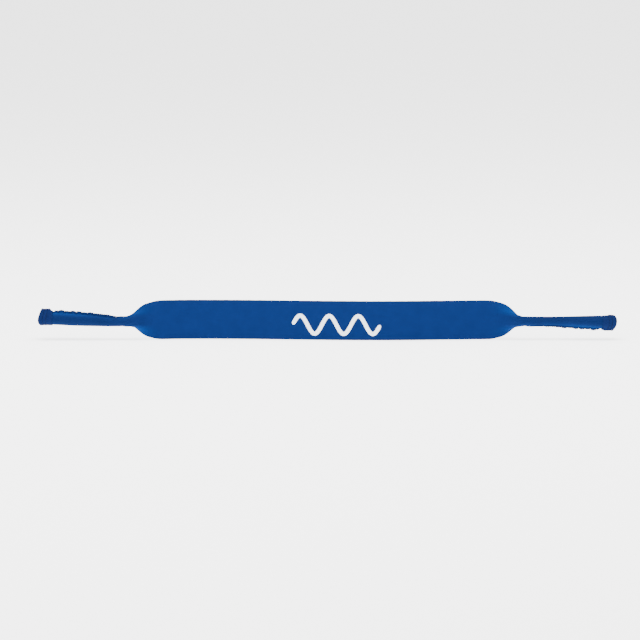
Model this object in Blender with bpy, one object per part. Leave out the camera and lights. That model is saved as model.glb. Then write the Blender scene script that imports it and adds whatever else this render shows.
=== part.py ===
"""Neoprene eyewear retainer: a wide neck band with a sewn sleeve at each end.

The strap stands on its long lower edge. +X runs along its length with x = 0 in the middle,
the printed face looks towards -Y, and the band's lower edge lies at z = 0.

One sheet of laminate (jersey, foam, jersey) makes the band and both sleeves. It narrows past
the band, curls away from the printed face, and its two cut edges meet in an overlocked seam.
A section of the sheet is drawn in two lengths: a, across the sheet from its middle line, and
b, away from the printed face. Fold lines cut the sheet into seven stiff lengths, with a hinge
on each line and a V-shaped gap to bend into.
"""
import math
from collections import namedtuple

import bmesh
import bpy
from mathutils import Vector
from mathutils.geometry import convex_hull_2d

MM = 0.001

# The sheet
MOUTH_X = 203.2 * MM
BAND_WIDTH = 27.6 * MM
JERSEY = 0.25 * MM
FILM = 0.1 * MM
FOAM = 0.8 * MM
HALF_THICKNESS = FOAM / 2 + FILM + JERSEY

# The lie of the standing strap, seen from above
WAVE_HEIGHT = 3.6 * MM
WAVE_LENGTH = 240.0 * MM
WAVE_CREST_X = -86.0 * MM
WAVE_FADES_FROM = 100.0 * MM
WAVE_FADES_TO = 140.0 * MM

# Sleeve section: two radii and the tight turn into the seam, at full size
FOLD_RADIUS = 4.85 * MM
SIDE_RADIUS = 3.2 * MM
SEAM_RADIUS = 1.0 * MM
FOLD_ANGLE = math.radians(45)
LIP_SPACING = 0.1 * MM
NECK_SIZE = 0.57
NECK_LIP = 1.3 * MM
MOUTH_LIP = 1.4 * MM
FOLD_STEPS = 2
SIDE_STEPS = 4
SEAM_STEPS = 2

# Shoulders, as distances from the neck point where each one ends
NARROWS_FROM = -24.0 * MM
NARROWS_TO = 3.8 * MM
CURLS_FROM = -16.7 * MM
CURLS_TO = 4.8 * MM
ROLLS_FROM = -5.0 * MM
ROLLS_TO = 12.0 * MM
DROPS_FROM = -9.0 * MM
DROPS_TO = 4.0 * MM
NECK_Z = 12.8 * MM

# Hinge lines
INNER_FLEX_X = 46.0 * MM
OUTER_FLEX_X = 92.0 * MM
BAND_FLEX = math.radians(35)
NECK_FLEX = math.radians(60)
FLEX_GAP = 0.3 * MM

# Spacing of the sections, along the flat band and where the sheet curls
FLAT_SPACING = 8.0 * MM
CURLED_SPACING = 4.5 * MM
SMOOTH_ANGLE = math.radians(40)

# Seam and mouth trimmings
STITCH_PITCH = 4.1 * MM
STITCHES = 10
THREAD_RADIUS = 0.12 * MM
THREAD_CLEARANCE = 0.14 * MM
# A looper leaves the lip's face, rounds its corner and crosses the edge, and comes back alike:
# each turn is a share of the stitch, and each distance a share of the thread's clearance.
LEAVES_FACE = 0.3
ROUNDS_CORNER = 0.36
CROSSES_EDGE = 0.5
CORNER_REACH = 0.75
EDGE_REACH = 1.3
NEEDLE_REACH = 2.4
FACE_END = 0.1 * MM
TAPE = 0.5 * MM
TAPE_GAP = 0.15 * MM
TAPE_WIDTH = 10.0 * MM
TAPE_STEPS = 13
STITCH_ROWS = (3.2 * MM, 5.6 * MM)

# Printed mark: a wave ribbon
MARK_X = 6.4 * MM
MARK_DROP = 3.0 * MM
MARK_LENGTH = 64.0 * MM
MARK_HEIGHT = 15.5 * MM
MARK_WAVES = 3
MARK_STROKE = 2.8 * MM
MARK_STEPS = 64
INK_GAP = 0.08 * MM
INK = 0.12 * MM

# The shoulder ends at `neck_x` and the fold line crosses the neck at `hinge_x`. The sleeve
# widens from `widens_from` over `widens_over`, and its middle rises by `rise`. An ease of 1
# changes evenly along the sleeve, and a larger one changes sooner.
End = namedtuple("End", "name side neck_x hinge_x widens_from widens_over ease rise rise_ease")
LEFT = End("left", -1, 139.4 * MM, 146.0 * MM, 147.0 * MM, 48.0 * MM, 2.2, 2.5 * MM, 1.3)
RIGHT = End("right", 1, 135.6 * MM, 142.0 * MM, 157.0 * MM, 38.0 * MM, 1.0, -0.95 * MM, 1.0)

# A length of the sheet between two fold lines. The root has no parent and no hinge.
Body = namedtuple("Body", "name parent start stop start_flex stop_flex hinge_x")


def smooth(value, start, stop):
    """0 before start, 1 after stop, and an even S between them."""
    t = min(1.0, max(0.0, (value - start) / (stop - start)))
    return t * t * (3.0 - 2.0 * t)


def mix(low, high, amount):
    return low + (high - low) * amount


def end_at(x):
    return LEFT if x < 0 else RIGHT


def past_neck(x):
    """How far a station lies beyond its end's neck point. Negative towards the band."""
    return abs(x) - end_at(x).neck_x


def growth(x, ease):
    """How far a sleeve has changed at a station: 0 from its neck inwards, 1 at its mouth."""
    end = end_at(x)
    t = min(1.0, max(0.0, (abs(x) - end.widens_from) / end.widens_over))
    return 1.0 - (1.0 - t) ** ease


def plan_y(x):
    wave = WAVE_HEIGHT * math.cos(2.0 * math.pi * (x - WAVE_CREST_X) / WAVE_LENGTH)
    return wave * (1.0 - smooth(abs(x), WAVE_FADES_FROM, WAVE_FADES_TO))


def middle_z(x):
    end = end_at(x)
    neck = mix(BAND_WIDTH / 2, NECK_Z, smooth(past_neck(x), DROPS_FROM, DROPS_TO))
    return neck + end.rise * growth(x, end.rise_ease)


def away_from_face(x):
    """Level direction square to the sheet's middle line, away from the printed face."""
    step = 0.5 * MM
    slope = (plan_y(x + step) - plan_y(x - step)) / (2 * step)
    return Vector((-slope, 1.0, 0.0)).normalized()


def sleeve_arcs(size, lip):
    """Half a sleeve section from its fold to its cut edge: (length, turn, steps) of each arc."""
    fold_radius = FOLD_RADIUS * size
    side_radius = SIDE_RADIUS * size
    widest = fold_radius * math.sin(FOLD_ANGLE) + side_radius * (1.0 - math.sin(FOLD_ANGLE))
    closing = (widest - HALF_THICKNESS - LIP_SPACING) / (side_radius + SEAM_RADIUS)
    back_turn = math.acos(1.0 - closing)
    side_turn = math.pi / 2 - FOLD_ANGLE + back_turn
    return (
        (fold_radius * FOLD_ANGLE, FOLD_ANGLE, FOLD_STEPS),
        (side_radius * side_turn, side_turn, SIDE_STEPS),
        (SEAM_RADIUS * back_turn, -back_turn, SEAM_STEPS),
        (lip, 0.0, 1),
    )


def half_section(x):
    """Middle surface of half the sheet at x: (a, b, turn) from the fold line to the cut edge."""
    grown = growth(x, end_at(x).ease)
    arcs = sleeve_arcs(mix(NECK_SIZE, 1.0, grown), mix(NECK_LIP, MOUTH_LIP, grown))
    sleeve_width = sum(length for length, turn, steps in arcs)
    width = mix(BAND_WIDTH / 2, sleeve_width, smooth(past_neck(x), NARROWS_FROM, NARROWS_TO))
    curl = smooth(past_neck(x), CURLS_FROM, CURLS_TO)
    a, b, heading = 0.0, 0.0, 0.0
    points = [(a, b, heading)]
    for length, turn, steps in arcs:
        step_length = length * width / sleeve_width / steps
        half_turn = turn * curl / steps / 2
        chord = step_length * (math.sin(half_turn) / half_turn if half_turn else 1.0)
        for _ in range(steps):
            a += chord * math.cos(heading + half_turn)
            b += chord * math.sin(heading + half_turn)
            heading += 2 * half_turn
            points.append((a, b, heading))
    return points


def flat_half_section():
    return [(0.0, 0.0, 0.0), (BAND_WIDTH / 2, 0.0, 0.0)]


def whole_section(half):
    return [(-a, b, -turn) for a, b, turn in reversed(half[1:])] + half


def offset_section(section, distance):
    """(a, b) of the section moved out by a distance, towards the printed face."""
    return [(a + distance * math.sin(turn), b - distance * math.cos(turn)) for a, b, turn in section]


def section_middle(x):
    """b of the section's own middle, which rides on the strap's middle line."""
    curl = smooth(past_neck(x), CURLS_FROM, CURLS_TO)
    return (half_section(x)[-1][1] - HALF_THICKNESS * curl) / 2


def place(x, a, b, b_middle):
    """World point of a section point. The section rolls a quarter turn through the neck."""
    side = end_at(x).side
    roll = math.pi / 2 * smooth(past_neck(x), ROLLS_FROM, ROLLS_TO)
    away = away_from_face(x)
    up = Vector((0.0, 0.0, 1.0))
    across = up * math.cos(roll) + away * side * math.sin(roll)
    back = away * math.cos(roll) - up * side * math.sin(roll)
    return Vector((x, plan_y(x), middle_z(x))) + across * a + back * (b - b_middle)


def stations(start, stop, spacing):
    count = max(2, math.ceil((stop - start) / spacing))
    return [mix(start, stop, i / count) for i in range(count + 1)]


def cut_back(x, a, b, b_middle, flex, direction):
    """Point on a fold line's V face: the deeper it lies from the hinge, the further back."""
    if flex == 0.0:
        return place(x, a, b, b_middle)
    depth = (place(x, a, b, b_middle) - Vector((x, plan_y(x), 0.0))).dot(away_from_face(x))
    recess = FLEX_GAP / 2 + abs(depth) * math.tan(flex / 2)
    return place(x + direction * recess, a, b, b_middle)


def layer_rows(body, low, high):
    """Closed outlines of one layer of the sheet, station by station along a body."""
    flat = max(past_neck(body.start), past_neck(body.stop)) < NARROWS_FROM
    places = stations(body.start, body.stop, FLAT_SPACING if flat else CURLED_SPACING)
    rows = []
    for index, x in enumerate(places):
        section = whole_section(flat_half_section() if flat else half_section(x))
        middle = 0.0 if flat else section_middle(x)
        outline = offset_section(section, high) + offset_section(section, low)[::-1]
        if index == 0:
            rows.append([cut_back(x, a, b, middle, body.start_flex, 1) for a, b in outline])
        elif index == len(places) - 1:
            rows.append([cut_back(x, a, b, middle, body.stop_flex, -1) for a, b in outline])
        else:
            rows.append([place(x, a, b, middle) for a, b in outline])
    return rows


def quad(corners, flip):
    """Two triangles. The layers of the sheet are cut along the same diagonals."""
    p, q, r, s = corners
    return [(p, q, s), (q, r, s)] if flip else [(p, q, r), (p, r, s)]


def side_faces(row_count, loop_size, closed):
    faces = []
    for row in range(row_count if closed else row_count - 1):
        after = (row + 1) % row_count
        for k in range(loop_size):
            n = (k + 1) % loop_size
            corners = (row * loop_size + k, row * loop_size + n,
                       after * loop_size + n, after * loop_size + k)
            faces += quad(corners, k >= loop_size // 2)
    return faces


def end_faces(first, loop_size):
    """End of a strip, as quads between its two long sides."""
    faces = []
    for k in range(loop_size // 2 - 1):
        mate = loop_size - 1 - k
        faces += quad((first + k, first + k + 1, first + mate - 1, first + mate), False)
    return faces


def strip_faces(row_count, loop_size):
    last = (row_count - 1) * loop_size
    return (side_faces(row_count, loop_size, False) + end_faces(0, loop_size)
            + end_faces(last, loop_size))


def linear(channel):
    value = channel / 255
    return value / 12.92 if value <= 0.04045 else ((value + 0.055) / 1.055) ** 2.4


def material(name, colour, roughness):
    made = bpy.data.materials.get(name) or bpy.data.materials.new(name)
    made.use_nodes = True
    shader = made.node_tree.nodes["Principled BSDF"]
    shader.inputs["Base Color"].default_value = (*[linear(c) for c in colour], 1.0)
    shader.inputs["Roughness"].default_value = roughness
    shader.inputs["Metallic"].default_value = 0.0
    return made


def face_jersey():
    return material("face_jersey", (18, 73, 142), 0.75)


def foam_rubber():
    return material("foam_rubber", (22, 23, 26), 0.9)


def lining_jersey():
    return material("lining_jersey", (17, 66, 130), 0.8)


def binding_tape():
    return material("binding_tape", (25, 61, 118), 0.8)


def sewing_thread():
    return material("sewing_thread", (16, 70, 138), 0.6)


def ink():
    return material("ink", (240, 248, 252), 0.5)


def add_mesh(name, rows, faces, paint, pivot):
    """Mesh object whose origin is its body's pivot."""
    mesh = bpy.data.meshes.new(name)
    mesh.from_pydata([point - pivot.location_in_world for row in rows for point in row], [], faces)
    turn_outward(mesh)
    mesh.materials.append(paint)
    mesh.shade_smooth()
    mesh.set_sharp_from_angle(angle=SMOOTH_ANGLE)
    made = bpy.data.objects.new(name, mesh)
    made.parent = pivot.empty
    bpy.context.scene.collection.objects.link(made)
    return made


def turn_outward(mesh):
    shape = bmesh.new()
    shape.from_mesh(mesh)
    bmesh.ops.recalc_face_normals(shape, faces=shape.faces)
    shape.to_mesh(mesh)
    shape.free()


def add_thread(name, points, cyclic, pivot):
    """Thread as a poly curve with a round bevel."""
    curve = bpy.data.curves.new(name, "CURVE")
    curve.dimensions = "3D"
    curve.bevel_depth = THREAD_RADIUS
    curve.bevel_resolution = 1
    curve.use_fill_caps = not cyclic
    spline = curve.splines.new("POLY")
    spline.points.add(len(points) - 1)
    spline.use_cyclic_u = cyclic
    for knot, point in zip(spline.points, points):
        knot.co = (*(point - pivot.location_in_world), 1.0)
    curve.materials.append(sewing_thread())
    made = bpy.data.objects.new(name, curve)
    made.parent = pivot.empty
    bpy.context.scene.collection.objects.link(made)
    return made


Pivot = namedtuple("Pivot", "empty location_in_world")


def add_pivot(body, pivots):
    """Empty on a body's hinge line, under its parent body's empty."""
    x = body.hinge_x
    location = Vector((x, plan_y(x), 0.0))
    empty = bpy.data.objects.new(body.name + "_pivot", None)
    empty.empty_display_size = 5.0 * MM
    empty.location = location
    if body.parent:
        empty.parent = pivots[body.parent].empty
        empty.location = location - pivots[body.parent].location_in_world
    bpy.context.scene.collection.objects.link(empty)
    pivots[body.name] = Pivot(empty, location)


def bodies():
    """The seven stiff lengths of the strap, parents first."""
    mouth = MOUTH_X - TAPE - TAPE_GAP
    made = [Body("band_centre", None, -INNER_FLEX_X, INNER_FLEX_X, BAND_FLEX, BAND_FLEX, 0.0)]
    for end in (LEFT, RIGHT):
        lines = ((INNER_FLEX_X, BAND_FLEX), (OUTER_FLEX_X, BAND_FLEX), (end.hinge_x, NECK_FLEX),
                 (mouth, 0.0))
        names = ["band_centre"] + [end.name + "_" + part for part in ("band", "shoulder", "sleeve")]
        for k in range(3):
            ends = sorted(((lines[k][0] * end.side, lines[k][1]),
                           (lines[k + 1][0] * end.side, lines[k + 1][1])))
            made.append(Body(names[k + 1], names[k], ends[0][0], ends[1][0], ends[0][1],
                             ends[1][1], lines[k][0] * end.side))
    return made


def add_laminate(body, pivot):
    layers = (
        ("face_jersey", FOAM / 2 + FILM, HALF_THICKNESS, face_jersey()),
        ("foam_core", -FOAM / 2, FOAM / 2, foam_rubber()),
        ("lining_jersey", -HALF_THICKNESS, -FOAM / 2 - FILM, lining_jersey()),
    )
    for layer, low, high, paint in layers:
        rows = layer_rows(body, low, high)
        add_mesh(body.name + "_" + layer, rows, strip_faces(len(rows), len(rows[0])), paint, pivot)


def seam_point(x, a, b_past_edge):
    """Point by the seam: a from the seam's middle plane, b from the cut edge."""
    return place(x, a, half_section(x)[-1][1] + b_past_edge, section_middle(x))


def add_seam(end, pivot):
    """Three-thread overlock: a needle row on one lip, and a looper over each lip to the edge."""
    clear = THREAD_CLEARANCE + THREAD_RADIUS
    lip_face = LIP_SPACING + 2 * HALF_THICKNESS
    surface = lip_face + clear
    bite = NECK_LIP
    seam_end = MOUTH_X - TAPE_WIDTH - clear
    first = seam_end - STITCHES * STITCH_PITCH
    needle = []
    for k in range(2 * STITCHES):
        x = first + (k + 0.5) * STITCH_PITCH / 2
        lift = THREAD_RADIUS * (k % 2)
        needle.append(seam_point(end.side * x, surface + NEEDLE_REACH * clear + lift, -bite))
    add_thread(end.name + "_seam_needle_thread", needle, False, pivot)
    corner = (lip_face + CORNER_REACH * clear, CORNER_REACH * clear)
    stitch = ((0.0, surface, -bite), (LEAVES_FACE, surface, -FACE_END), (ROUNDS_CORNER, *corner),
              (CROSSES_EDGE, 0.0, EDGE_REACH * clear), (1.0 - ROUNDS_CORNER, *corner),
              (1.0 - LEAVES_FACE, surface, -FACE_END))
    for name, lip, first_stitch in (("upper", 1, 0.0), ("lower", -1, 0.5)):
        path = []
        for k in range(STITCHES - math.ceil(first_stitch)):
            for along, a, b in stitch:
                x = first + (first_stitch + k + along) * STITCH_PITCH
                path.append(seam_point(end.side * x, lip * a, b))
        add_thread(end.name + "_seam_" + name + "_looper", path, False, pivot)


def taut_outline(x, distance):
    """Outline of a tape drawn tight round the sleeve, as (a, b) points from the fold round."""
    ring = [Vector(p) for p in offset_section(whole_section(half_section(x)), distance)]
    edge_a = LIP_SPACING + HALF_THICKNESS + distance
    edge_b = half_section(x)[-1][1] + distance - HALF_THICKNESS
    ring += [Vector((-edge_a, edge_b)), Vector((edge_a, edge_b))]
    return round_trip([ring[k] for k in convex_hull_2d(ring) if ring[k].x > -1e-6])


def lumen_outline(x):
    """Outline of the sleeve's hollow, up to where its lips close."""
    inside = offset_section(half_section(x), -HALF_THICKNESS)
    return round_trip([Vector(p) for p in inside[:FOLD_STEPS + SIDE_STEPS + SEAM_STEPS]])


def round_trip(half):
    """A whole (a, b) loop from its right half: evenly spaced points up, and their mirror down."""
    half = sorted(half, key=lambda p: p.y)
    reach = [0.0]
    for p, q in zip(half, half[1:]):
        reach.append(reach[-1] + (q - p).length)
    up = []
    for k in range(TAPE_STEPS + 1):
        goal = reach[-1] * k / TAPE_STEPS
        leg = max(i for i in range(len(half) - 1) if reach[i] <= goal)
        up.append(half[leg].lerp(half[leg + 1], (goal - reach[leg]) / (reach[leg + 1] - reach[leg])))
    return up + [Vector((-p.x, p.y)) for p in reversed(up[1:])]


def add_binding(end, pivot):
    """Tape round the mouth, turned in over the sheet's cut end and flush with the hollow."""
    mouth = end.side * MOUTH_X
    inboard = end.side * (MOUTH_X - TAPE_WIDTH)
    rim = end.side * (MOUTH_X - TAPE)
    halfway = (inboard + mouth) / 2
    gap = HALF_THICKNESS + TAPE_GAP
    profile = (
        (inboard, taut_outline(inboard, gap + TAPE)),
        (halfway, taut_outline(halfway, gap + TAPE)),
        (mouth, taut_outline(mouth, gap + TAPE)),
        (mouth, lumen_outline(mouth)),
        (rim, lumen_outline(rim)),
        (rim, taut_outline(rim, gap)),
        (halfway, taut_outline(halfway, gap)),
        (inboard, taut_outline(inboard, gap)),
    )
    rows = [[place(x, p.x, p.y, section_middle(x)) for p in outline] for x, outline in profile]
    faces = side_faces(len(rows), len(rows[0]), True)
    add_mesh(end.name + "_mouth_binding", rows, faces, binding_tape(), pivot)
    for number, inset in enumerate(STITCH_ROWS, 1):
        x = end.side * (MOUTH_X - inset)
        distance = gap + TAPE + THREAD_CLEARANCE + THREAD_RADIUS
        ring = [place(x, p.x, p.y, section_middle(x)) for p in taut_outline(x, distance)]
        add_thread(f"{end.name}_binding_stitch_row_{number}", ring, True, pivot)


def add_mark(pivot):
    """Wave ribbon of ink on the middle of the printed face."""
    swing = (MARK_HEIGHT - MARK_STROKE) / 2
    length = MARK_LENGTH - MARK_STROKE
    rows = []
    for k in range(MARK_STEPS + 1):
        t = k / MARK_STEPS
        phase = 2.0 * math.pi * MARK_WAVES * t
        slope = swing * math.cos(phase) * 2.0 * math.pi * MARK_WAVES / length
        along = Vector((1.0, slope)).normalized()
        centre = Vector((MARK_X + length * (t - 0.5), swing * math.sin(phase) - MARK_DROP))
        left = centre + Vector((-along.y, along.x)) * MARK_STROKE / 2
        right = centre - Vector((-along.y, along.x)) * MARK_STROKE / 2
        front = -HALF_THICKNESS - INK_GAP - INK
        back = -HALF_THICKNESS - INK_GAP
        rows.append([place(left.x, left.y, front, 0.0), place(right.x, right.y, front, 0.0),
                     place(right.x, right.y, back, 0.0), place(left.x, left.y, back, 0.0)])
    add_mesh("printed_mark", rows, strip_faces(len(rows), 4), ink(), pivot)


def main():
    for old in list(bpy.data.objects):
        bpy.data.objects.remove(old)
    pivots = {}
    for body in bodies():
        add_pivot(body, pivots)
        add_laminate(body, pivots[body.name])
    for end in (LEFT, RIGHT):
        add_seam(end, pivots[end.name + "_sleeve"])
        add_binding(end, pivots[end.name + "_sleeve"])
    add_mark(pivots["band_centre"])


main()
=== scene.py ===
"""Looks of the eyewear retainer: knit-faced neoprene, overlocked sleeves, bound mouths.

The sheet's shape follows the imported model: the same section, drawn finer, with the creases,
scallops and rounded edges of soft cloth, slightly fuller necks, and the tape's squeeze at the
mouths. a runs across the sheet from its fold line, b away from the printed face, and t is the
distance over the cloth from the fold line to a point.
"""
import math
from collections import namedtuple

import bmesh
import bpy
import numpy as np
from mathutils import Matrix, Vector


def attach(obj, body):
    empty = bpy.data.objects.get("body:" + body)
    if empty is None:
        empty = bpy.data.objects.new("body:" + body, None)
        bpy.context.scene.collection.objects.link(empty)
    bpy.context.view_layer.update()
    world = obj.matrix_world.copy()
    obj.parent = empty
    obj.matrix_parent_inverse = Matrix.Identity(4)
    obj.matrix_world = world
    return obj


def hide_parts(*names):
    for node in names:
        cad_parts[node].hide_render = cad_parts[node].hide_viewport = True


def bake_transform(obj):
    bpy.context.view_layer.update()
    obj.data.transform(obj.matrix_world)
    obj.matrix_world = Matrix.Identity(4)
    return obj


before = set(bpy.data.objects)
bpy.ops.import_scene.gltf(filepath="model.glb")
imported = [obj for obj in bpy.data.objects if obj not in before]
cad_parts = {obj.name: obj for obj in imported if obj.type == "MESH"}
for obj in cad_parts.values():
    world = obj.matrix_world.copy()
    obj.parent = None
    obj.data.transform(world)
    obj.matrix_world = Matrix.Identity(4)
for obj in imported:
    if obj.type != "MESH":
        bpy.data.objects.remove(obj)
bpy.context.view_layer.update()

MM = 0.001
TO_MM = 1000.0

# The sheet, as in the model but for NECK_SIZE, which is slightly larger here
MOUTH_X = 203.2 * MM
BAND_WIDTH = 27.6 * MM
HALF_THICKNESS = 0.75 * MM
FOAM_FACE = 0.45 * MM
WAVE_HEIGHT = 3.6 * MM
WAVE_LENGTH = 240.0 * MM
WAVE_CREST_X = -86.0 * MM
WAVE_FADES = (100.0 * MM, 140.0 * MM)
FOLD_RADIUS = 4.85 * MM
SIDE_RADIUS = 3.2 * MM
SEAM_RADIUS = 1.0 * MM
FOLD_ANGLE = math.radians(45)
LIP_SPACING = 0.1 * MM
NECK_SIZE = 0.59
NECK_LIP = 1.3 * MM
MOUTH_LIP = 1.4 * MM
NECK_Z = 12.8 * MM

# Where the sheet changes, from and to, as distances past its neck point
NARROWS = (-24.0 * MM, 3.8 * MM)
CURLS = (-16.7 * MM, 4.8 * MM)
ROLLS = (-5.0 * MM, 12.0 * MM)
DROPS = (-9.0 * MM, 4.0 * MM)

# Seam and mouth. UNDER_TAPE is from the sheet's middle surface to the tape's hidden face.
STITCH_PITCH = 4.1 * MM
STITCHES = 10
TAPE = 0.45 * MM
UNDER_TAPE = 0.50 * MM
TAPE_WIDTH = 10.0 * MM
TAPE_HEM_X = MOUTH_X - TAPE_WIDTH
FIRST_STITCH_X = TAPE_HEM_X - 0.26 * MM - STITCHES * STITCH_PITCH
STITCH_ROWS = (3.2 * MM, 5.6 * MM)

# Lengths of cloth, each from the middle of one body to the middle of the next or to the mouth
BAND_MIDDLE_X = 69.0 * MM
SHOULDER_MIDDLE_X = 117.0 * MM
CLOTH_END_X = MOUTH_X - 0.4 * MM
INNER_FLEX_X = 46.0 * MM
OUTER_FLEX_X = 92.0 * MM
FLEX_REACH = 10.0 * MM
NECK_REACH = 6.5 * MM

End = namedtuple("End", "name side neck_x hinge_x widens_from widens_over ease rise rise_ease")
LEFT = End("left", -1, 139.4 * MM, 146.0 * MM, 147.0 * MM, 48.0 * MM, 2.2, 2.5 * MM, 1.3)
RIGHT = End("right", 1, 135.6 * MM, 142.0 * MM, 157.0 * MM, 38.0 * MM, 1.0, -0.95 * MM, 1.0)

# The mouth as it lies. Its end reaches furthest at peak_z, and stands back from there over the
# heights above and below it. The tape stands past the seam, and flares at the fold. The seam is
# nipped in just before the tape.
Mouth = namedtuple("Mouth", "peak_z above above_back above_power below below_back below_power "
                            "past_seam flare nipped_x nip")
MOUTHS = {
    "left": Mouth(14.8 * MM, 6.4 * MM, 2.0 * MM, 1.3, 4.4 * MM, 1.2 * MM, 3.0,
                  1.35 * MM, 0.0, 192.9 * MM, 0.8 * MM),
    "right": Mouth(13.9 * MM, 4.0 * MM, 2.4 * MM, 2.6, 7.4 * MM, 2.6 * MM, 2.3,
                   0.3 * MM, 0.6 * MM, 191.8 * MM, 1.1 * MM),
}
MOUTH_REACH = 14.0 * MM
NIP_REACH = 1.5 * MM

# Soft detail of the cloth: how far it stands out or in
SCALLOP = 0.85 * MM
SCALLOP_SUNK = 0.36 * MM
NECK_CREASE = 0.13 * MM
PUCKER = 0.30 * MM
LIP_ROOT_FILL = 0.7 * MM
UNEVEN = 0.05 * MM
RIPPLE = 0.10 * MM
LIP_BULGE = 0.16 * MM
RAGGED = 0.025 * MM
EDGE_ROUNDING = 0.16 * MM
EDGE_REACH = 0.5 * MM

# Its waves along the strap, as the length of one radian
LONG_WAVE = 9.1 * MM
MEDIUM_WAVE = 5.7 * MM
SHORT_WAVE = 4.3 * MM
RAGGED_WAVE = 1.3 * MM

# Where it is: the middle and the width of a bell, past the neck or in from the cut edge
NECK_CREASES_AT = (-1.0 * MM, 9.0 * MM)
# The next two place the painted highlight, round the shoulders and beside the seam
SHOULDER_HIGHLIGHT_AT = (-5.0 * MM, 8.5 * MM)
SEAM_HIGHLIGHT_AT = (2.7 * MM, 1.6 * MM)
PUCKER_AT = (2.2 * MM, 1.9 * MM)
LIP_ROOT_AT = (2.4 * MM, 1.25 * MM)

# How strongly the strip beside a seam is given the painted highlight: at its inboard end, and
# towards the mouth
SEAM_HIGHLIGHT = (0.2, 0.8)
SEAM_HIGHLIGHT_STITCHES = (1.5, 7.5)

# What the tape's stitching takes off the sheet and off the tape itself
SHEET_PRESSED = 0.42
TAPE_PRESSED = 0.42
ROW_REACH = 0.55 * MM

# Threads
SEAM_THREAD_RADIUS = 0.17 * MM
ROW_THREAD_RADIUS = 0.13 * MM

# Rings of the binding: the outer face, the turn over the mouth, and the hidden face
TAPE_STEPS = 48
OUTER_RINGS = 30
ROLL = 0.45 * MM
ROLL_STEPS = 8
INNER_RINGS = 12

# Printed mark: a wave ribbon
MARK_X = 6.4 * MM
MARK_DROP = 3.0 * MM
MARK_LENGTH = 64.0 * MM
MARK_HEIGHT = 15.5 * MM
MARK_STROKE = 2.8 * MM
MARK_WAVES = 3
MARK_STEPS = 420
MARK_ACROSS = 8
MARK_RUN = MARK_LENGTH - MARK_STROKE
MARK_SWING = (MARK_HEIGHT - MARK_STROKE) / 2
INK_CROWN = 0.10 * MM
INK_EDGE = 0.02 * MM
INK_SUNK = 0.03 * MM

# Steps of the drawn sheet
LAYER_SPACING = {"jersey": 0.8 * MM, "foam": 1.2 * MM}
LAYER_STEPS = {"jersey": 44, "foam": 30}
MOUTH_STEPS = 24


# ---------------------------------------------------------------- shape of the sheet

def smooth(value, start, stop):
    """0 before start, 1 after stop, and an even S between them."""
    t = np.clip((value - start) / (stop - start), 0.0, 1.0)
    return t * t * (3.0 - 2.0 * t)


def mix(low, high, amount):
    return low + (high - low) * amount


def bell(value, middle, width):
    return np.exp(-((value - middle) / width) ** 2)


def end_at(x):
    return LEFT if x < 0 else RIGHT


def past_neck(x):
    return abs(x) - end_at(x).neck_x


def growth(x, ease):
    """How far a sleeve has changed at a station: 0 from its neck inwards, 1 at its mouth."""
    end = end_at(x)
    t = min(1.0, max(0.0, (abs(x) - end.widens_from) / end.widens_over))
    return 1.0 - (1.0 - t) ** ease


def plan_y(x):
    """The strap's gentle wave, seen from above."""
    wave = WAVE_HEIGHT * math.cos(2.0 * math.pi * (x - WAVE_CREST_X) / WAVE_LENGTH)
    return wave * (1.0 - smooth(abs(x), *WAVE_FADES))


def middle_z(x):
    neck = mix(BAND_WIDTH / 2, NECK_Z, smooth(past_neck(x), *DROPS))
    return neck + end_at(x).rise * growth(x, end_at(x).rise_ease)


def sleeve_arcs(size, lip):
    """(length, turn) of each arc of half a sleeve section, from its fold to its cut edge."""
    fold_radius = FOLD_RADIUS * size
    side_radius = SIDE_RADIUS * size
    widest = fold_radius * math.sin(FOLD_ANGLE) + side_radius * (1.0 - math.sin(FOLD_ANGLE))
    closing = (widest - HALF_THICKNESS - LIP_SPACING) / (side_radius + SEAM_RADIUS)
    back_turn = math.acos(1.0 - closing)
    side_turn = math.pi / 2 - FOLD_ANGLE + back_turn
    return ((fold_radius * FOLD_ANGLE, FOLD_ANGLE), (side_radius * side_turn, side_turn),
            (SEAM_RADIUS * back_turn, -back_turn), (lip, 0.0))


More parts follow.
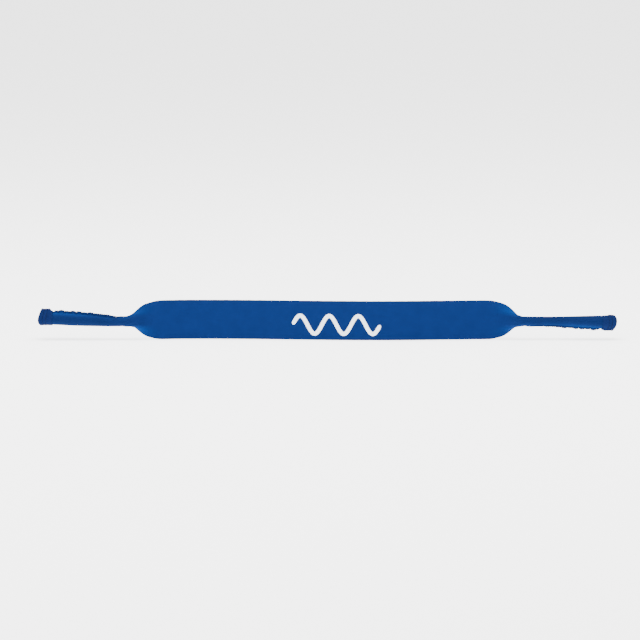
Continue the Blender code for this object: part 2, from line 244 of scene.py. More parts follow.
class Section:
    """The sheet's middle surface at one station, as arrays over t, and its place in space."""

    FINER = 8

    def __init__(self, x, steps):
        grown = growth(x, end_at(x).ease)
        self.x = x
        self.size = mix(NECK_SIZE, 1.0, grown)
        self.curl = float(smooth(past_neck(x), *CURLS))
        arcs = sleeve_arcs(self.size, mix(NECK_LIP, MOUTH_LIP, grown))
        natural = sum(length for length, turn in arcs)
        self.half_width = mix(BAND_WIDTH / 2, natural, smooth(past_neck(x), *NARROWS))
        self.bend(arcs, natural, steps)
        self.stand()

    def bend(self, arcs, natural, steps):
        """Follow the section's curve from the fold line to the cut edge, and mirror it."""
        knots_t = np.concatenate(([0.0], np.cumsum([a[0] for a in arcs]))) / natural
        knots_turn = np.concatenate(([0.0], np.cumsum([a[1] for a in arcs]))) * self.curl
        share = np.linspace(0.0, 1.0, steps + 1)
        fine = np.linspace(0.0, 1.0, steps * self.FINER + 1)
        heading = np.interp(fine, knots_t, knots_turn)
        step = self.half_width / (steps * self.FINER)
        turned = (heading[1:] + heading[:-1]) / 2
        across = np.concatenate(([0.0], np.cumsum(np.cos(turned)) * step))[::self.FINER]
        down = np.concatenate(([0.0], np.cumsum(np.sin(turned)) * step))[::self.FINER]
        turn = heading[::self.FINER]
        self.b_edge = down[-1]
        self.b_middle = (self.b_edge - HALF_THICKNESS * self.curl) / 2
        self.t = np.concatenate((-share[:0:-1], share)) * self.half_width
        self.a = np.concatenate((-across[:0:-1], across))
        self.b = np.concatenate((down[:0:-1], down))
        self.turn = np.concatenate((-turn[:0:-1], turn))

    def stand(self):
        """Find the section's place and its two directions in space."""
        side = end_at(self.x).side
        roll = math.pi / 2 * float(smooth(past_neck(self.x), *ROLLS))
        step = 0.5 * MM
        slope = (plan_y(self.x + step) - plan_y(self.x - step)) / (2 * step)
        away = np.array([-slope, 1.0, 0.0]) / math.hypot(slope, 1.0)
        up = np.array([0.0, 0.0, 1.0])
        self.across = up * math.cos(roll) + away * side * math.sin(roll)
        self.back = away * math.cos(roll) - up * side * math.sin(roll)
        self.centre = np.array([self.x, plan_y(self.x), middle_z(self.x)])

    def world(self, a, b):
        a = np.asarray(a, float)[..., None]
        b = np.asarray(b, float)[..., None]
        return self.centre + self.across * a + self.back * (b - self.b_middle)

    def offset(self, distance):
        """(a, b) moved out from the middle surface, towards the printed face."""
        return self.a + distance * np.sin(self.turn), self.b - distance * np.cos(self.turn)

    def from_edge(self):
        """Distance over the cloth from each point to its cut edge."""
        return self.half_width - np.abs(self.t)


def mouth_section(end, inset):
    return Section(end.side * (MOUTH_X - inset), MOUTH_STEPS)


def widest_cut(places):
    return max(2 * Section(x, 8).half_width for x in places)


def cut_area(start, stop):
    """Flat area of the cut between two stations."""
    places = stations(start, stop, 1.0 * MM)
    widths = np.array([2 * Section(x, 8).half_width for x in places])
    return float(abs(np.sum((widths[1:] + widths[:-1]) / 2 * np.diff(places))))


def stations(start, stop, spacing):
    count = max(2, math.ceil(abs(stop - start) / spacing))
    return np.linspace(start, stop, count + 1)


# ---------------------------------------------------------------- softness of the sheet

def stitch_phase(x):
    """Stitches counted from the inboard end of the seam."""
    return (abs(x) - FIRST_STITCH_X) / STITCH_PITCH


def in_seam(x):
    """1 along the seam, fading out over about a stitch at each end."""
    phase = stitch_phase(x)
    return smooth(phase, -1.0, 0.5) * (1.0 - smooth(phase, STITCHES, STITCHES + 1.0))


def lobe(x):
    """Plump between two stitches, nipped at each of them."""
    return abs(math.sin(math.pi * stitch_phase(x))) ** 0.6


def edge_wave(x):
    """How far the lips' edge stands out at a station: scallops, and the nip before the tape."""
    mouth = MOUTHS[end_at(x).name]
    uneven = 1.0 + 0.35 * math.sin(2.4 * math.floor(stitch_phase(x)) + 1.0)
    towards_mouth = 0.3 + 0.7 * float(smooth(stitch_phase(x), 0.0, 6.0))
    scallop = SCALLOP * uneven * lobe(x) - SCALLOP_SUNK
    nip = mouth.nip * float(bell(abs(x), mouth.nipped_x, NIP_REACH))
    return towards_mouth * float(in_seam(x)) * scallop - nip


def squeeze(x):
    """The tape's stitching presses the sheet flat under it."""
    under_tape = smooth(abs(x), TAPE_HEM_X - 1.2 * MM, TAPE_HEM_X + 0.6 * MM)
    return 1.0 - SHEET_PRESSED * float(under_tape)


def unevenness(x, share):
    """Slow, shallow waves all over the sheet."""
    return UNEVEN * (np.sin(x / LONG_WAVE + 3.0 * share) + np.sin(x / SHORT_WAVE - 5.0 * share))


def creases(section):
    """How far the cloth stands out of its smooth shape, for all reasons together."""
    x = section.x
    share = section.t / section.half_width
    from_edge = section.from_edge()
    fan = np.cos(7.5 * math.pi * share + 0.6) * (1.0 - share ** 4)
    neck = NECK_CREASE * bell(past_neck(x), *NECK_CREASES_AT) * fan
    pucker = -PUCKER * in_seam(x) * (1.0 - lobe(x)) * bell(from_edge, *PUCKER_AT)
    filled = LIP_ROOT_FILL * section.size * section.curl ** 2 * bell(from_edge, *LIP_ROOT_AT)
    in_sleeve = smooth(past_neck(x), 8.0 * MM, 30.0 * MM)
    ripple = np.sin(x / MEDIUM_WAVE + 4.0 * share) * np.cos(2.2 * share * math.pi)
    return neck + pucker + filled + unevenness(x, share) + RIPPLE * in_sleeve * ripple


def painted_highlight(section):
    """Painted highlight, a brighter blue where the cloth curls away round the shoulders and on the
    strip beside the seam.
    """
    share = section.t / section.half_width
    stronger = np.where(np.sign(share) == end_at(section.x).side, 1.0, 0.6)
    off_middle = smooth(np.abs(share), 0.22, 0.6)
    shoulder = bell(past_neck(section.x), *SHOULDER_HIGHLIGHT_AT) * off_middle * stronger
    along_seam = float(smooth(stitch_phase(section.x), *SEAM_HIGHLIGHT_STITCHES))
    seam = mix(*SEAM_HIGHLIGHT, along_seam) * in_seam(section.x)
    return np.clip(shoulder + seam * bell(section.from_edge(), *SEAM_HIGHLIGHT_AT), 0.0, 1.0)


def shape_mouth(end, inset, points):
    """Move points near a mouth back to its slanted, rounded end. Inset is their way in from it."""
    mouth = MOUTHS[end.name]
    over = points[:, 2] - mouth.peak_z
    above = mouth.above_back * np.clip(over / mouth.above, 0.0, 1.2) ** mouth.above_power
    below = mouth.below_back * np.clip(-over / mouth.below, 0.0, 1.2) ** mouth.below_power
    points[:, 0] -= end.side * max(0.0, 1.0 - inset / MOUTH_REACH) * (above + below)


def layer_points(section, distance, pinch):
    """World points of one face of a layer at a station. Pinch is its rounding at the cut edge."""
    x = section.x
    from_edge = section.from_edge()
    sewn = 1.0 - 0.3 * float(in_seam(x)) * np.exp(-from_edge / (0.9 * MM))
    out = distance * squeeze(x) * sewn + creases(section)
    out = out - np.sign(distance) * pinch * np.exp(-from_edge / EDGE_REACH)
    a = section.a + out * np.sin(section.turn)
    b = section.b - out * np.cos(section.turn)
    if distance > 0:
        on_lip = np.clip(1.0 - from_edge / (1.6 * MM), 0.0, 1.0)
        a = a + np.sign(section.a) * in_seam(x) * on_lip * LIP_BULGE * lobe(x)
    ragged = RAGGED * math.sin(x / RAGGED_WAVE) * bell(from_edge, 0.0, 0.8 * MM)
    a = a + np.sign(section.t) * ragged * (1.0 - section.curl)
    b = b + ragged * section.curl
    b = b + edge_wave(x) * smooth(from_edge, 3.2 * MM, 0.4 * MM) * section.curl
    return section.world(a, b)


# ---------------------------------------------------------------- mesh building

def grid_faces(rows, columns):
    """Quads of a rows by columns grid of points."""
    index = np.arange(rows * columns).reshape(rows, columns)
    corners = (index[:-1, :-1], index[:-1, 1:], index[1:, 1:], index[1:, :-1])
    return np.stack(corners, -1).reshape(-1, 4)


def new_object(name, vertices, faces, uvs, paint, smooth_angle=50):
    """A mesh object with its places over the cloth as its texture places."""
    mesh = bpy.data.meshes.new(name)
    mesh.from_pydata(np.asarray(vertices).tolist(), [], np.asarray(faces).tolist())
    layer = mesh.uv_layers.new(name="Cloth")
    corners = np.empty(len(mesh.loops), dtype=np.int32)
    mesh.loops.foreach_get("vertex_index", corners)
    layer.data.foreach_set("uv", np.asarray(uvs, dtype=np.float32)[corners].ravel())
    mesh.materials.append(paint)
    made = bpy.data.objects.new(name, mesh)
    bpy.context.scene.collection.objects.link(made)
    face_outward(mesh)
    mesh.shade_smooth()
    mesh.set_sharp_from_angle(angle=math.radians(smooth_angle))
    return made


def face_outward(mesh):
    shape = bmesh.new()
    shape.from_mesh(mesh)
    bmesh.ops.recalc_face_normals(shape, faces=shape.faces)
    shape.to_mesh(mesh)
    shape.free()


def closed_slab(front, back):
    """Vertices and faces of a slab between two grids of points."""
    rows, columns = front.shape[:2]
    count = rows * columns
    faces = [grid_faces(rows, columns), grid_faces(rows, columns)[:, ::-1] + count]
    index = np.arange(count).reshape(rows, columns)
    for rim in (index[0], index[-1][::-1], index[:, 0][::-1], index[:, -1]):
        faces.append(np.stack((rim[:-1], rim[:-1] + count, rim[1:] + count, rim[1:]), -1))
    vertices = np.concatenate((front.reshape(-1, 3), back.reshape(-1, 3)))
    return vertices, np.concatenate(faces)


# ---------------------------------------------------------------- materials

def linear(channel):
    value = channel / 255
    return value / 12.92 if value <= 0.04045 else ((value + 0.055) / 1.055) ** 2.4


def rgb(*colour):
    return (*[linear(c) for c in colour], 1.0)


class Nodes:
    """Small helper to write node trees in a few lines."""

    def __init__(self, name):
        self.material = bpy.data.materials.new(name)
        self.material.use_nodes = True
        self.tree = self.material.node_tree
        self.shader = self.tree.nodes["Principled BSDF"]

    def add(self, kind, inputs=(), **settings):
        node = self.tree.nodes.new("ShaderNode" + kind)
        for key, value in settings.items():
            setattr(node, key, value)
        for key, value in dict(inputs).items():
            self.put(node.inputs[key], value)
        return node

    def put(self, socket, value):
        if isinstance(value, bpy.types.NodeSocket):
            self.tree.links.new(value, socket)
        else:
            socket.default_value = value

    def math(self, operation, first, second=0.0, third=0.0):
        node = self.add("Math", operation=operation)
        for socket, value in zip(node.inputs, (first, second, third)):
            self.put(socket, value)
        return node.outputs[0]

    def shade(self, key, value):
        self.put(self.shader.inputs[key], value)

    def sheen(self, weight, roughness, tint):
        self.shade("Sheen Weight", weight)
        self.shade("Sheen Roughness", roughness)
        self.shade("Sheen Tint", (*tint, 1.0))

    def bump(self, height, strength, distance):
        node = self.add("Bump", {"Strength": strength, "Distance": distance, "Height": height})
        self.shade("Normal", node.outputs[0])

    def between(self, amount, first, second):
        """A colour from first to second, by amount."""
        return self.add("MixRGB", {"Fac": amount, "Color1": first, "Color2": second}).outputs[0]

    def dimmed(self, colour, light):
        """The colour times a brightness."""
        node = self.add("MixRGB", {"Fac": 1.0, "Color1": colour}, blend_type="MULTIPLY")
        grey = self.add("CombineColor", {0: light, 1: light, 2: light})
        self.put(node.inputs["Color2"], grey.outputs[0])
        return node.outputs[0]

    def cloth_place(self):
        """(s, t, vector) in millimetres over the cloth."""
        uv = self.add("UVMap", uv_map="Cloth").outputs[0]
        parts = self.add("SeparateXYZ", {0: uv})
        return parts.outputs[0], parts.outputs[1], uv

    def noise(self, vector, scale, detail=3.0, roughness=0.55):
        node = self.add("TexNoise", {"Vector": vector, "Scale": scale, "Detail": detail,
                                     "Roughness": roughness})
        return node.outputs["Fac"]

    def ramp(self, value, low, high):
        node = self.add("MapRange", {"Value": value, "To Min": low, "To Max": high})
        return node.outputs[0]


def knit_height(nodes, s, t):
    """Ribbed stitches: ridges along the strap, each made of small leaning loops."""
    wale, course = 0.42, 0.36
    ridge = nodes.math("ABSOLUTE", nodes.math("SINE", nodes.math("MULTIPLY", t, math.pi / wale)))
    lean = nodes.math("MULTIPLY", ridge, 0.45)
    along = nodes.math("ADD", nodes.math("MULTIPLY", s, 1.0 / course), lean)
    loops = nodes.math("SINE", nodes.math("MULTIPLY", along, 2.0 * math.pi))
    return nodes.math("MULTIPLY_ADD", loops, 0.28, ridge), ridge


def jersey(name, colour, sleeve_colour, highlight_colour, sheen):
    """Fine nylon jersey: knit relief, slightly mottled dyeing, soft sheen, duller in the sleeves,
    and a painted highlight round the shoulders and beside the seams.
    """
    nodes = Nodes(name)
    s, t, place = nodes.cloth_place()
    in_sleeve = nodes.add("MapRange", {"Value": nodes.math("ABSOLUTE", s), "From Min": 118.0,
                                       "From Max": 150.0}).outputs[0]
    # Painted highlight: share of a brighter blue at each point, round the shoulders and beside the
    # seams
    highlight = nodes.add("Attribute", attribute_name="PaintedHighlight").outputs["Fac"]
    dye_and_highlight = nodes.between(in_sleeve, (*colour, 1.0), (*sleeve_colour, 1.0))
    dye_and_highlight = nodes.between(highlight, dye_and_highlight, (*highlight_colour, 1.0))
    height, ridge = knit_height(nodes, s, t)
    mottle = nodes.noise(place, 0.12, 4.0)
    fibre = nodes.noise(place, 3.5, 2.0)
    light = nodes.math("MULTIPLY", nodes.ramp(mottle, 0.86, 1.14), nodes.ramp(ridge, 0.86, 1.07))
    light = nodes.math("MULTIPLY", light, nodes.ramp(fibre, 0.93, 1.07))
    nodes.shade("Base Color", nodes.dimmed(dye_and_highlight, light))
    nodes.shade("Roughness", nodes.ramp(fibre, 0.62, 0.82))
    nodes.shade("Specular IOR Level", 0.02)
    nodes.sheen(sheen, 0.35, (0.0, 0.2, 0.8))
    nodes.bump(nodes.math("MULTIPLY_ADD", fibre, 0.5, height), 0.55, 0.06 * MM)
    return nodes.material


def foam():
    """Cut edge of closed-cell foam: near black, finely pitted."""
    nodes = Nodes("foam")
    place = nodes.add("TexCoord").outputs["Object"]
    pits = nodes.noise(place, 2600.0, 3.0, 0.7)
    cells = nodes.add("TexVoronoi", {"Vector": place, "Scale": 3200.0}).outputs["Distance"]
    shade = nodes.between(pits, (0.002, 0.002, 0.0024, 1.0), (0.007, 0.0075, 0.009, 1.0))
    nodes.shade("Base Color", shade)
    nodes.shade("Roughness", nodes.ramp(pits, 0.75, 0.95))
    nodes.shade("Specular IOR Level", 0.06)
    nodes.bump(cells, 0.7, 0.08 * MM)
    return nodes.material


def tape(colour):
    """Ribbed binding tape, duller than the jersey."""
    nodes = Nodes("tape")
    s, t, place = nodes.cloth_place()
    rib_width, weft = 0.62, 0.5
    across_ribs = nodes.math("MULTIPLY", s, math.pi / rib_width)
    rib = nodes.math("ABSOLUTE", nodes.math("SINE", across_ribs))
    cross = nodes.math("SINE", nodes.math("MULTIPLY", t, 2.0 * math.pi / weft))
    fibre = nodes.noise(place, 2.6, 3.0)
    mottle = nodes.noise(place, 0.35, 3.0)
    light = nodes.math("MULTIPLY", nodes.ramp(rib, 0.78, 1.08), nodes.ramp(mottle, 0.8, 1.2))
    nodes.shade("Base Color", nodes.dimmed((*colour, 1.0), light))
    nodes.shade("Roughness", nodes.ramp(fibre, 0.7, 0.9))
    nodes.shade("Specular IOR Level", 0.02)
    nodes.sheen(0.05, 0.5, (0.05, 0.2, 0.6))
    relief = nodes.math("MULTIPLY_ADD", cross, 0.2, nodes.math("MULTIPLY_ADD", fibre, 0.6, rib))
    nodes.bump(relief, 0.6, 0.1 * MM)
    return nodes.material


def thread(name, colour):
    """Textured polyester thread."""
    nodes = Nodes(name)
    place = nodes.add("TexCoord").outputs["Object"]
    twist = nodes.add("TexWave", {"Vector": place, "Scale": 1400.0, "Distortion": 1.5},
                      bands_direction="DIAGONAL").outputs["Fac"]
    fuzz = nodes.noise(place, 2200.0, 2.0)
    in_twist = [c * 0.5 for c in colour]
    nodes.shade("Base Color", nodes.between(twist, (*in_twist, 1.0), (*colour, 1.0)))
    nodes.shade("Roughness", nodes.ramp(fuzz, 0.45, 0.7))
    nodes.shade("Specular IOR Level", 0.05)
    nodes.bump(twist, 0.5, 0.06 * MM)
    return nodes.material


def ink():
    """Screen-printed ink: flat white with the knit showing through."""
    nodes = Nodes("ink")
    s, t, place = nodes.cloth_place()
    height, ridge = knit_height(nodes, s, t)
    fibre = nodes.noise(place, 2.4, 3.0)
    light = nodes.math("MULTIPLY", nodes.ramp(ridge, 0.94, 1.0), nodes.ramp(fibre, 0.95, 1.0))
    nodes.shade("Base Color", nodes.dimmed(rgb(240, 248, 252), light))
    nodes.shade("Roughness", nodes.ramp(fibre, 0.45, 0.62))
    nodes.shade("Specular IOR Level", 0.4)
    nodes.bump(height, 0.35, 0.04 * MM)
    return nodes.material


# Brighter blue of the painted highlight, round the shoulders and beside the seams
PAINTED_HIGHLIGHT = (0.0004, 0.0240, 0.1250)
FACE = jersey("face_jersey_knit", (0.0030, 0.0136, 0.071), (0.0034, 0.0108, 0.052), PAINTED_HIGHLIGHT, 0.3)
LINING = jersey("lining_jersey_knit", (0.0030, 0.0126, 0.064), (0.0034, 0.0103, 0.049), PAINTED_HIGHLIGHT, 0.25)
FOAM = foam()
TAPE_CLOTH = tape((0.0046, 0.0106, 0.052))
SEAM_THREAD = thread("seam_thread", (0.0050, 0.0170, 0.085))
ROW_THREAD = thread("row_thread", (0.0040, 0.0075, 0.032))
INK = ink()


# ---------------------------------------------------------------- the sheet's pieces

# Low and high are the layer's two faces, as distances from the sheet's middle surface. Each
# rounding is what that face loses at the cut edge, and less than 0 stands out.
Layer = namedtuple("Layer", "name kind low high low_rounding high_rounding paint slot")
LAYERS = (
    Layer("face_jersey", "jersey", FOAM_FACE, HALF_THICKNESS, 0.0, EDGE_ROUNDING,
          FACE, "face_jersey"),
    Layer("foam_core", "foam", -FOAM_FACE, FOAM_FACE, -0.05 * MM, -0.05 * MM,
          FOAM, "foam_rubber"),
    Layer("lining_jersey", "jersey", -HALF_THICKNESS, -FOAM_FACE, EDGE_ROUNDING, 0.0,
          LINING, "lining_jersey"),
)

Length = namedtuple("Length", "name start stop body_a body_b hinge_x reach stands_for held")


def lengths_of_cloth(end):
    band = end.name + "_band"
    shoulder = end.name + "_shoulder"
    sleeve = end.name + "_sleeve"
    return (
        Length(band, 0.0, BAND_MIDDLE_X, "band_centre", band, INNER_FLEX_X, FLEX_REACH,
               ("band_centre", band), "laid"),
        Length(shoulder, BAND_MIDDLE_X, SHOULDER_MIDDLE_X, band, shoulder, OUTER_FLEX_X,
               FLEX_REACH, (shoulder,), "laid"),
        Length(sleeve, SHOULDER_MIDDLE_X, CLOTH_END_X, shoulder, sleeve, end.hinge_x,
               NECK_REACH, (sleeve,), "folded"),
    )


def make_layer(name, near, far, layer):
    """One layer of the sheet between two stations, as a closed slab."""
    front, back, where, highlight = [], [], [], []
    for x in stations(near, far, LAYER_SPACING[layer.kind]):
        section = Section(x, LAYER_STEPS[layer.kind])
        high = layer_points(section, layer.high, layer.high_rounding)
        low = layer_points(section, layer.low, layer.low_rounding)
        for points in (high, low):
            shape_mouth(end_at(x), MOUTH_X - abs(x), points)
        front.append(high)
        back.append(low)
        where.append(np.stack((np.full(section.t.shape, x), section.t), -1))
        highlight.append(painted_highlight(section))
    vertices, faces = closed_slab(np.array(front), np.array(back))
    uvs = np.tile(np.array(where).reshape(-1, 2), (2, 1)) * TO_MM
    made = new_object(name, vertices, faces, uvs, layer.paint)
    # Each point's share of the painted highlight, on both faces of the slab
    highlight_weights = made.data.attributes.new("PaintedHighlight", "FLOAT", "POINT")
    highlight_weights.data.foreach_set("value", np.tile(np.array(highlight, dtype=np.float32).ravel(), 2))
    return made


def make_sheet(end):
    for length in lengths_of_cloth(end):
        near = end.side * length.start
        far = end.side * length.stop
        widest = widest_cut(stations(near, far, 2.0 * MM))
        area = cut_area(near, far)
        for layer in LAYERS:
            piece = make_layer(f"{length.name}_{layer.name}_cloth", near, far, layer)
            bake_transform(piece)
            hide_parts(*[f"{body}_{layer.name}" for body in length.stands_for])


# ---------------------------------------------------------------- seam threads

def rounded(points, cyclic, per_leg=5):
    """Catmull-Rom curve through the points."""
    if cyclic:
        padded = np.vstack((points[-1], points, points[0], points[1]))
    else:
        padded = np.vstack((2 * points[0] - points[1], points, 2 * points[-1] - points[-2]))
    made = []
    for p0, p1, p2, p3 in zip(padded, padded[1:], padded[2:], padded[3:]):
        for k in range(per_leg):
            t = k / per_leg
            made.append(0.5 * (2 * p1 + (p2 - p0) * t + (2 * p0 - 5 * p1 + 4 * p2 - p3) * t ** 2
                               + (3 * p1 - p0 - 3 * p2 + p3) * t ** 3))
    if not cyclic:
        made.append(points[-1])
    return np.array(made)


def make_thread(name, points, radius, cyclic, paint, body, node):
    """Thread as a smooth curve through its points."""
    curve = bpy.data.curves.new(name, "CURVE")
    curve.dimensions = "3D"
    curve.bevel_depth = radius
    curve.bevel_resolution = 2
    curve.use_fill_caps = not cyclic
    spline = curve.splines.new("POLY")
    dense = rounded(np.asarray(points), cyclic)
    spline.points.add(len(dense) - 1)
    spline.points.foreach_set("co", np.hstack((dense, np.ones((len(dense), 1)))).ravel())
    spline.use_cyclic_u = cyclic
    curve.materials.append(paint)
    made = bpy.data.objects.new(name, curve)
    bpy.context.scene.collection.objects.link(made)
    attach(made, body)
    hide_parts(node)


def seam_place(end, count, a, past_edge):
    """Point of the seam, count stitches along it: a from its middle plane, b past the cut edge."""
    x = end.side * (FIRST_STITCH_X + count * STITCH_PITCH)
    section = Section(x, 12)
    return section.world(a, section.b_edge + past_edge + edge_wave(x))


def looper_stitch(lip_face, on_face):
    """(share of the stitch, a, past the edge) along one stitch: up a lip, over, and back down."""
    rising = [
        (0.00, on_face, -1.35 * MM),
        (0.14, on_face + 0.1 * MM, -0.7 * MM),
        (0.26, on_face, -0.05 * MM),
        (0.36, lip_face - 0.25 * MM, 0.14 * MM),
    ]
    falling = [(1.0 - share, a, past_edge) for share, a, past_edge in rising[:0:-1]]
    return rising + [(0.5, 0.0, 0.2 * MM)] + falling


def make_needle_row(end, on_face):
    """Row of stitches along a lip's face, dipping in at each one."""
    legs = 4
    proud, dip = 0.12 * MM, 0.16 * MM
    points = []
    for k in range(STITCHES * legs + 1):
        sunk = dip if k % legs == 0 else 0.0
        points.append(seam_place(end, k / legs, on_face + proud - sunk, -1.45 * MM))
    make_thread(end.name + "_needle_row", points, SEAM_THREAD_RADIUS, False, SEAM_THREAD,
                end.name + "_sleeve", end.name + "_seam_needle_thread")


def make_seam(end):
    """Three-thread overlock: a needle row, and a looper on each lip, locked over the edge."""
    lip_face = LIP_SPACING + 2 * HALF_THICKNESS
    on_face = lip_face + 0.7 * SEAM_THREAD_RADIUS
    make_needle_row(end, on_face)
    for name, lip, lag, stitches in (("upper", 1, 0.0, STITCHES), ("lower", -1, 0.5, STITCHES - 1)):
        path = [seam_place(end, k + lag + share, lip * a, past_edge)
                for k in range(stitches)
                for share, a, past_edge in looper_stitch(lip_face, on_face)]
        make_thread(f"{end.name}_{name}_looper", path, SEAM_THREAD_RADIUS, False, SEAM_THREAD,
                    end.name + "_sleeve", f"{end.name}_seam_{name}_looper")


# ---------------------------------------------------------------- mouth binding

def turns_right(p, q, r):
    return (q[0] - p[0]) * (r[1] - p[1]) - (q[1] - p[1]) * (r[0] - p[0]) <= 0


def half_hull(line):
    made = []
    for p in line:
        while len(made) > 1 and turns_right(made[-2], made[-1], p):
            made.pop()
        made.append(p)
    return made[:-1]


def hull(points):
    """Convex hull of (a, b) points, anticlockwise."""
    points = sorted(map(tuple, points))
    return np.array(half_hull(points) + half_hull(points[::-1]))


def even_loop(half, steps):
    """Evenly spaced loop from its right half, starting at the fold."""
    half = half[np.argsort(half[:, 1], kind="stable")]
    reach = np.concatenate(([0.0], np.cumsum(np.linalg.norm(np.diff(half, axis=0), axis=1))))
    goal = np.linspace(0.0, reach[-1], steps + 1)
    up = np.stack((np.interp(goal, reach, half[:, 0]), np.interp(goal, reach, half[:, 1])), -1)
    down = up[:0:-1] * (-1, 1)
    return np.vstack((up, down))


def tape_loop(section, distance):
    """The outline of a tape drawn tight round the sleeve, with rounded seam corners."""
    corner_radius, corner_steps = 0.6 * MM, 6
    corner_a = LIP_SPACING + HALF_THICKNESS + distance
    corner_b = section.b_edge + distance - HALF_THICKNESS
    points = list(zip(*section.offset(distance)))
    for k in range(corner_steps + 1):
        angle = math.pi / 2 * k / corner_steps
        round_a = corner_a - corner_radius * (1 - math.cos(angle))
        round_b = corner_b - corner_radius * (1 - math.sin(angle))
        points += [(round_a, round_b), (-round_a, round_b)]
    outline = hull(points)
    return even_loop(outline[outline[:, 0] >= -1e-9], TAPE_STEPS)


def fit_tape(end, section, inset, loop):
    """Move a tape outline out at its seam side, in at its inner hem, and out at its flared fold."""
    mouth = MOUTHS[end.name]
    past = mix(-0.6 * MM, mouth.past_seam, smooth(TAPE_WIDTH - inset, 0.0, 3.2 * MM))
    seam_side = np.clip((loop[:, 1] - section.b_edge + 2.0 * MM) / (2.4 * MM), 0.0, 1.0)
    fold_side = np.clip((1.5 * MM - loop[:, 1]) / (2.2 * MM), 0.0, 1.0)
    loop[:, 1] += past * smooth(seam_side, 0.0, 1.0)
    loop[:, 1] -= mouth.flare * bell(inset, 3.3 * MM, 2.4 * MM) * fold_side


def hollow_loop(section):
    """The outline of the sleeve's hollow, up to where its lips close."""
    a, b = section.offset(-HALF_THICKNESS)
    half = np.stack((a, b), -1)[len(a) // 2:]
    closed = np.nonzero((half[:, 0] < 0.3 * MM) & (half[:, 1] > 3 * MM))[0]
    half = half[:closed[0] + 1] if len(closed) else half
    return even_loop(half, TAPE_STEPS)


def tape_thickness(inset):
    """Full in the middle, thinner where it is sewn down and at its hem, plump at the mouth."""
    sewn = sum(bell(inset, row, ROW_REACH) for row in STITCH_ROWS)
    hem = smooth(TAPE_WIDTH - inset, 0.0, 0.5 * MM)
    plump = 0.12 * MM * bell(inset, 0.8 * MM, 0.8 * MM)
    return TAPE * (0.35 + 0.65 * hem) * (1.0 - TAPE_PRESSED * sewn) + plump


def outer_rings(end):
    """(inset, loop, place over the tape) of the outer face, from its hem to the mouth."""
    rings = []
    for inset in np.linspace(TAPE_WIDTH, ROLL, OUTER_RINGS):
        section = mouth_section(end, inset)
        loop = tape_loop(section, UNDER_TAPE + tape_thickness(inset))
        fit_tape(end, section, inset, loop)
        pleat = 0.01 * np.sin(np.arange(len(loop)) * 2.1 + inset * 900.0)
        rings.append((inset, loop * (1.0 + pleat[:, None]), inset))
    return rings


def rolled_rings(end):
    """The same over the mouth, into the sleeve's hollow, and back behind the cut edge."""
    section = mouth_section(end, 0.0)
    full = tape_loop(section, UNDER_TAPE + TAPE)
    fit_tape(end, section, ROLL, full)
    hollow = hollow_loop(section)
    rings = []
    for k in range(1, ROLL_STEPS):
        angle = math.pi * k / ROLL_STEPS
        loop = mix(full, hollow, (1.0 - math.cos(angle)) / 2)
        rings.append((ROLL * (1.0 - math.sin(angle)), loop, -0.2 * MM * k))
    rings.append((0.5 * MM, hollow, -2.2 * MM))
    rings.append((0.7 * MM, mix(hollow, full, 0.12), -2.4 * MM))
    rings.append((0.6 * MM, tape_loop(section, UNDER_TAPE), -2.8 * MM))
    return rings


def hidden_rings(end):
    """The same along the face that lies on the sleeve, back to the hem."""
    rings = []
    for inset in np.linspace(ROLL, TAPE_WIDTH, INNER_RINGS):
        loop = tape_loop(mouth_section(end, inset), UNDER_TAPE)
        rings.append((max(inset, 0.65 * MM), loop, -3.0 * MM - inset))
    return rings


def ring_faces(count, ring):
    """Quads between count rings, each joined to the next and the last to the first."""
    index = np.arange(count * ring).reshape(count, ring)
    turned = np.roll(index, -1, axis=1)
    corners = (index, turned, np.roll(turned, -1, axis=0), np.roll(index, -1, axis=0))
    return np.stack(corners, -1).reshape(-1, 4)


def make_binding(end):
    """Tape round the mouth, rolled in over the cut end of the sheet."""
    rings = outer_rings(end) + rolled_rings(end) + hidden_rings(end)
    hem = rings[0][1]
    lengths = np.linalg.norm(np.diff(np.vstack((hem, hem[:1])), axis=0), axis=1)
    around = np.concatenate(([0.0], np.cumsum(lengths)[:-1]))
    rows, uvs = [], []
    for inset, loop, along in rings:
        points = mouth_section(end, inset).world(loop[:, 0], loop[:, 1])
        shape_mouth(end, inset, points)
        rows.append(points)
        uvs.append(np.stack((np.full(len(loop), along), around), -1) * TO_MM)
    piece = new_object(end.name + "_binding_tape", np.concatenate(rows),
                       ring_faces(len(rings), len(hem)), np.concatenate(uvs),
                       TAPE_CLOTH)
    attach(piece, end.name + "_sleeve")
    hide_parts(end.name + "_mouth_binding")


def make_stitch_rows(end):
    """Two rows of running stitches round the binding: each dips under between stitches."""
    pressed = UNDER_TAPE + TAPE * (1.0 - TAPE_PRESSED)
    steps_per_stitch = 4
    for number, inset in enumerate(STITCH_ROWS, 1):
        section = mouth_section(end, inset)
        high = tape_loop(section, pressed + 0.10 * MM)
        low = tape_loop(section, pressed - 0.12 * MM)
        dips = (np.arange(len(high)) % steps_per_stitch == steps_per_stitch - 1)[:, None]
        loop = np.where(dips, low, high)
        fit_tape(end, section, inset, loop)
        points = section.world(loop[:, 0], loop[:, 1])
        shape_mouth(end, inset, points)
        make_thread(f"{end.name}_stitch_row_{number}", points, ROW_THREAD_RADIUS, True,
                    ROW_THREAD, end.name + "_sleeve", f"{end.name}_binding_stitch_row_{number}")


# ---------------------------------------------------------------- printed mark

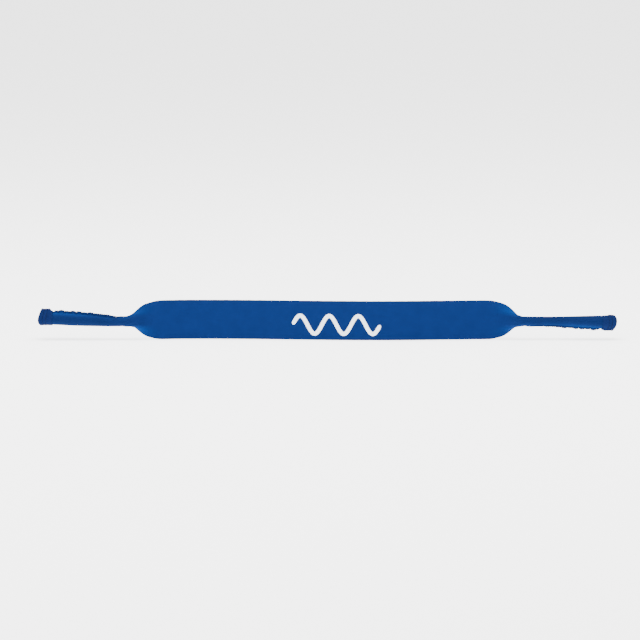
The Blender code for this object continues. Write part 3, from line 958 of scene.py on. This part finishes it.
def mark_line(share):
    """(centre, normal) of the ribbon's middle line, as (x, a), at a share of its run."""
    per_run = 2.0 * math.pi * MARK_WAVES
    slope = MARK_SWING * math.cos(per_run * share) * per_run / MARK_RUN
    along = np.array([1.0, slope]) / math.hypot(1.0, slope)
    x = MARK_X + MARK_RUN * (share - 0.5)
    a = MARK_SWING * math.sin(per_run * share) - MARK_DROP
    return np.array([x, a]), np.array([-along[1], along[0]])


def mark_half_width(share):
    """Half the ribbon's width, rounding off at its two ends."""
    radius = MARK_STROKE / 2
    from_end = min(share, 1.0 - share) * MARK_RUN * 1.5
    into_end = max(0.0, 1.0 - from_end / radius)
    return radius * math.sqrt(max(0.02, 1.0 - into_end ** 2))


def make_mark():
    """Wave ribbon of ink with round ends, a little proud of the jersey."""
    front, back, uvs = [], [], []
    for k in range(MARK_STEPS + 1):
        centre, normal = mark_line(k / MARK_STEPS)
        half_width = mark_half_width(k / MARK_STEPS)
        row_front, row_back = [], []
        for j in range(MARK_ACROSS + 1):
            place = 2 * j / MARK_ACROSS - 1
            x, a = centre + normal * half_width * place
            section = Section(x, 6)
            face = HALF_THICKNESS + unevenness(x, a / (BAND_WIDTH / 2))
            proud = INK_EDGE + INK_CROWN * (1.0 - abs(place) ** 6)
            row_front.append(section.world(a, -(face + proud)))
            row_back.append(section.world(a, -(face - INK_SUNK)))
            uvs.append((x * TO_MM, a * TO_MM))
        front.append(row_front)
        back.append(row_back)
    vertices, faces = closed_slab(np.array(front), np.array(back))
    piece = new_object("printed_wave", vertices, faces, np.array(uvs + uvs), INK, 80)
    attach(piece, "band_centre")
    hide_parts("printed_mark")


# ---------------------------------------------------------------- stage, light, camera

def make_floor():
    """Pale floor with some light of its own, so that it stays even."""
    reach = 12.0
    corners = [(-reach, -reach, 0), (reach, -reach, 0), (reach, reach, 0), (-reach, reach, 0)]
    mesh = bpy.data.meshes.new("floor")
    mesh.from_pydata(corners, [], [(0, 1, 2, 3)])
    nodes = Nodes("floor_paint")
    nodes.shade("Base Color", (0.92, 0.92, 0.92, 1.0))
    nodes.shade("Roughness", 0.9)
    nodes.shade("Emission Color", (1.0, 1.0, 1.0, 1.0))
    nodes.shade("Emission Strength", 2.2)
    mesh.materials.append(nodes.material)
    floor = bpy.data.objects.new("floor", mesh)
    bpy.context.scene.collection.objects.link(floor)


def area_light(name, place, aim, size, power):
    data = bpy.data.lights.new(name, "AREA")
    data.shape = "RECTANGLE"
    data.size, data.size_y = size
    data.energy = power
    lamp = bpy.data.objects.new(name, data)
    lamp.location = place
    lamp.rotation_euler = (Vector(aim) - Vector(place)).to_track_quat("-Z", "Y").to_euler()
    bpy.context.scene.collection.objects.link(lamp)


def make_light():
    world = bpy.data.worlds.new("studio")
    world.use_nodes = True
    background = world.node_tree.nodes["Background"]
    background.inputs["Color"].default_value = (1.0, 1.0, 1.0, 1.0)
    background.inputs["Strength"].default_value = 1.1
    bpy.context.scene.world = world
    area_light("overhead", (0.0, -0.1, 1.4), (0.0, 0.0, 0.0), (1.6, 1.2), 60.0)
    area_light("front", (-0.5, -1.4, 0.9), (0.0, 0.0, 0.01), (1.0, 0.8), 12.0)


def make_camera():
    """Long lens, just above the strap's level, 450 mm wide at the strap."""
    distance = 2.4
    elevation = math.radians(8.0)
    view_width = 449.6 * MM
    film_width = 36.0
    aim = Vector((-5.2 * MM, 0.0, BAND_WIDTH / 2))
    data = bpy.data.cameras.new("camera")
    data.sensor_width = film_width
    data.lens = film_width * distance / view_width
    data.clip_end = 50.0
    camera = bpy.data.objects.new("camera", data)
    away = Vector((0.0, -math.cos(elevation), math.sin(elevation)))
    camera.location = aim + away * distance
    camera.rotation_euler = (-away).to_track_quat("-Z", "Y").to_euler()
    bpy.context.scene.collection.objects.link(camera)
    bpy.context.scene.camera = camera


make_camera()
make_floor()
make_light()
for end in (LEFT, RIGHT):
    make_sheet(end)
    make_seam(end)
    make_binding(end)
    make_stitch_rows(end)
make_mark()
